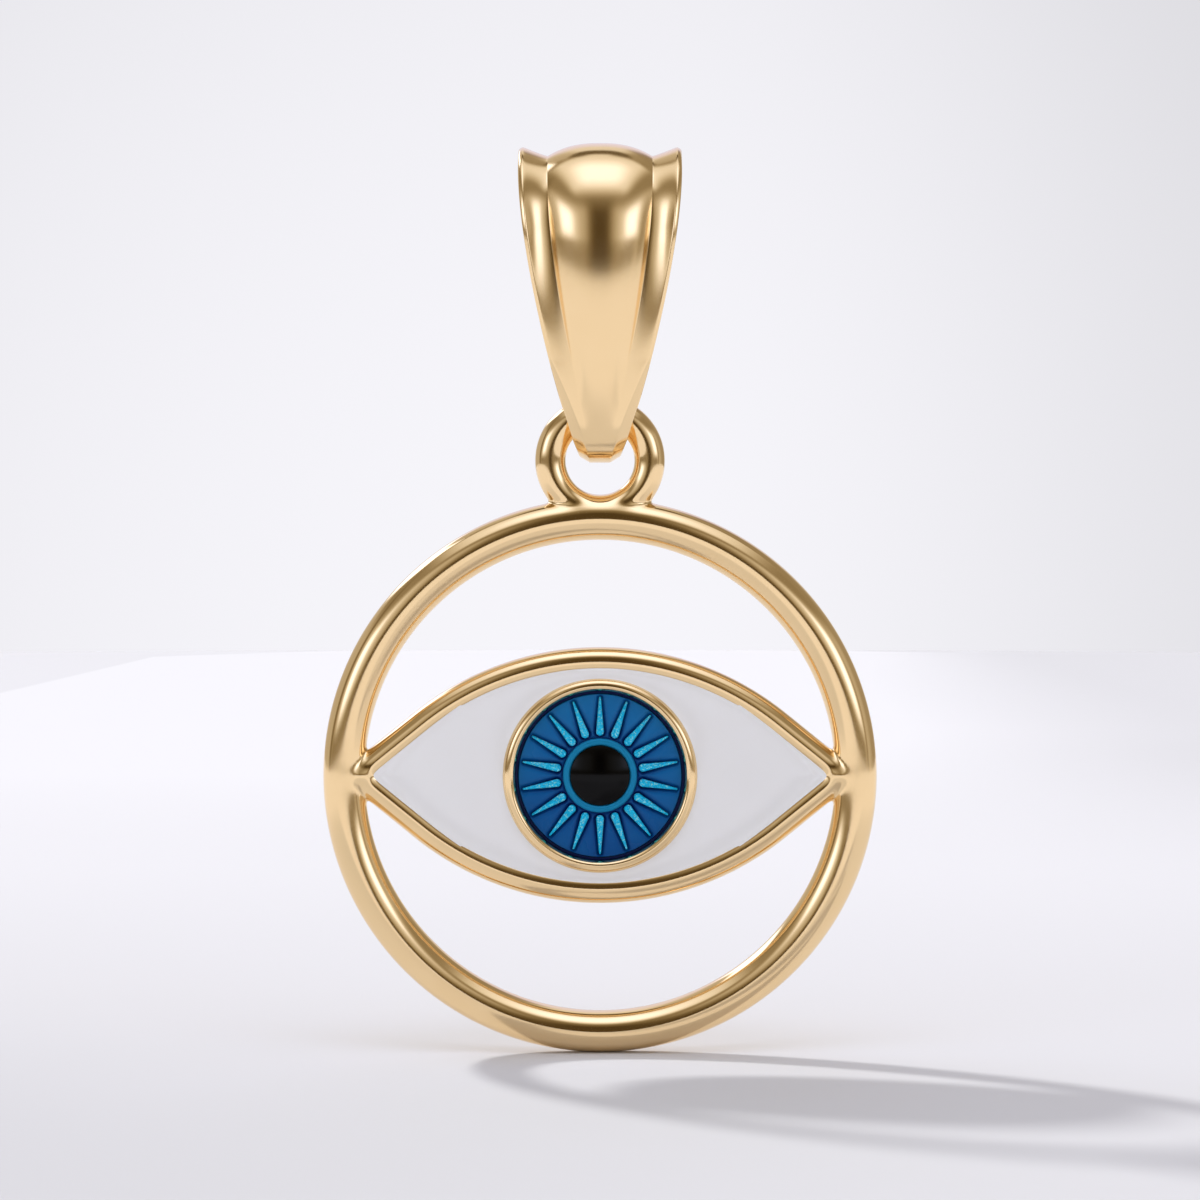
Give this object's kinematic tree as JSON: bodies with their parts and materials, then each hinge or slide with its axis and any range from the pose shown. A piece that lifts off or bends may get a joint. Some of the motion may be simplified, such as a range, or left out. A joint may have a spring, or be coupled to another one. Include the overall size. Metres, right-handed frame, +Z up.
{
  "type": "evil eye pendant",
  "caption": "Gold pendant: an enamelled eye in a round wire frame that swings from a tapered bail.",
  "frame": {"origin": "the chain seat: the inside top of the bail, in the middle of its width, where a chain bears", "axes": "+Z up, +X to the right and along the chain, the front of the eye faces -Y"},
  "size_m": [0.016, 0.004, 0.0263],
  "materials": {
    "gold": "polished yellow gold",
    "white_enamel": "glossy white enamel",
    "iris_relief": "sparkling light blue enamel over struck metal",
    "blue_enamel": "glossy blue enamel",
    "black_enamel": "glossy black"
  },
  "bodies": {
    "bail": {"bail": "gold"},
    "drop": {"frame": "gold", "white_enamel": "white_enamel", "iris_relief": "iris_relief", "iris_enamel": "blue_enamel", "pupil": "black_enamel"}
  },
  "joints": [
    {"name": "drop_swing", "type": "hinge", "parent": "bail", "child": "drop", "pos_m": [0, 0, -0.00698], "axis": [1, 0, 0], "range_deg": [-40, 40]}
  ]
}
